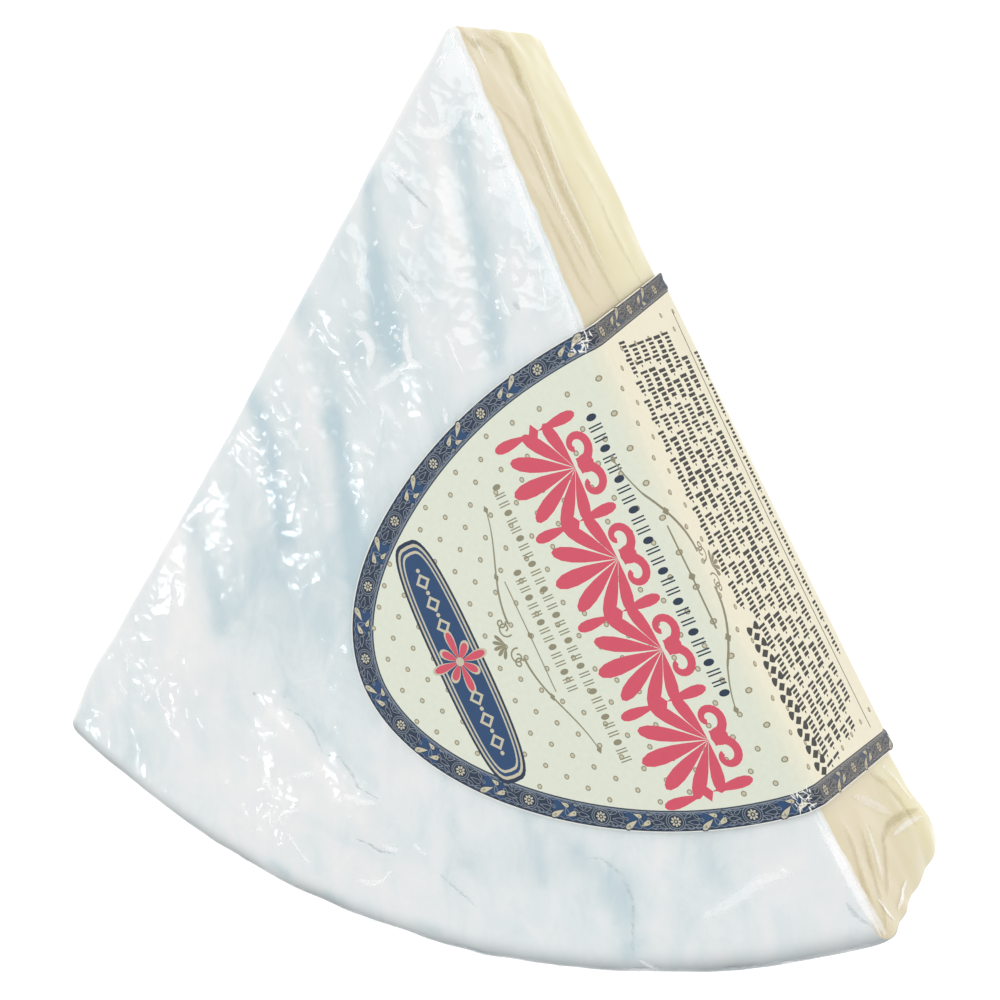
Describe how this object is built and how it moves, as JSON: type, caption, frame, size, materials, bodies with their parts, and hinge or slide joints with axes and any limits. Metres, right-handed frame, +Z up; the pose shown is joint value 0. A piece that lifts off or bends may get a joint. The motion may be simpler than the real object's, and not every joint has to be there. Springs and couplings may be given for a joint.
{
  "type": "wrapped wedge of brie cheese with a paper label",
  "caption": "Wedge of soft white-rind cheese in clear film, with a label folded over one cut edge: a food prop that rests flat on its base.",
  "frame": {"origin": "middle of the bounding box, on the flat base that the wedge rests on", "axes": "+Z up, out of the rind's flat top; +Y towards the wedge's point; -Y towards the rim; the labelled cut face looks towards +X and a little towards +Y"},
  "size_m": [0.165, 0.1586, 0.0408],
  "materials": {
    "cheese_in_film": "white bloomy rind and cream paste under clear glossy film",
    "clear_film": "clear glossy cling film, drawn tight with fine creases",
    "label_paper": "glossy coated label paper, cream with a blue border"
  },
  "bodies": {
    "root": {"wrapped_wedge": "cheese_in_film", "label": "label_paper"}
  },
  "joints": []
}
